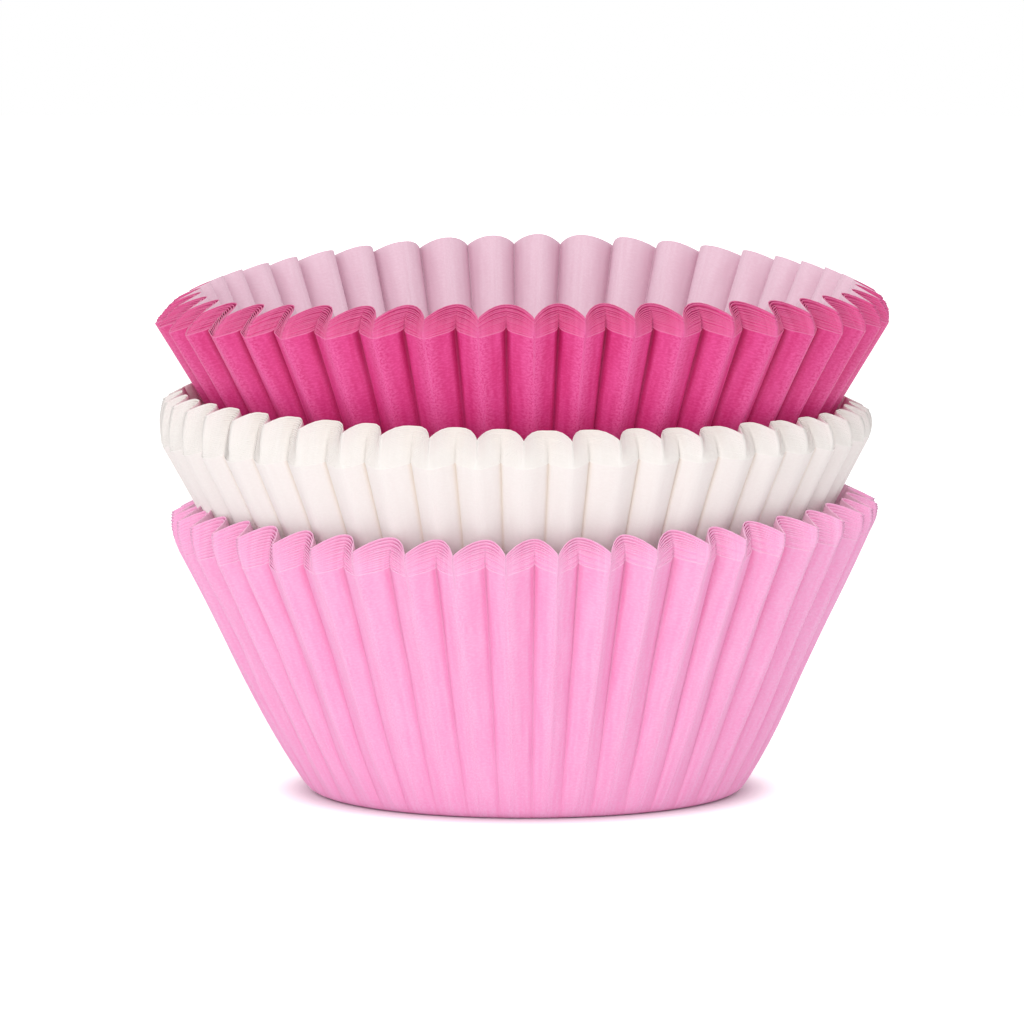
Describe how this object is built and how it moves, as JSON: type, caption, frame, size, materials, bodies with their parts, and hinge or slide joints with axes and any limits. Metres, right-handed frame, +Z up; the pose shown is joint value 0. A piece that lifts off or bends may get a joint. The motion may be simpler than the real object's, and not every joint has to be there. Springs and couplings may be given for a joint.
{
  "type": "stack of cupcake liners",
  "caption": "Pleated paper cupcake liners nested by colour, pink, white and magenta, each colour wedged in the mouth of the one below; flat floor, open top.",
  "frame": {"origin": "middle of the underside of the lowest liner's floor", "axes": "+Z up the stack, +X to the right seen from the front, -Y the front"},
  "size_m": [0.0854, 0.0812, 0.061],
  "materials": {
    "pink_paper": "matt greaseproof paper with pressed pleats",
    "white_paper": "matt greaseproof paper with pressed pleats",
    "magenta_paper": "matt greaseproof paper with pressed pleats"
  },
  "bodies": {
    "root": {"pink_liner_1": "pink_paper", "pink_liner_2": "pink_paper", "pink_liner_3": "pink_paper", "pink_liner_4": "pink_paper", "pink_liner_5": "pink_paper", "white_liner_1": "white_paper", "white_liner_2": "white_paper", "white_liner_3": "white_paper", "white_liner_4": "white_paper", "white_liner_5": "white_paper", "magenta_liner_1": "magenta_paper", "magenta_liner_2": "magenta_paper", "magenta_liner_3": "magenta_paper", "magenta_liner_4": "magenta_paper", "magenta_liner_5": "magenta_paper"}
  },
  "joints": []
}
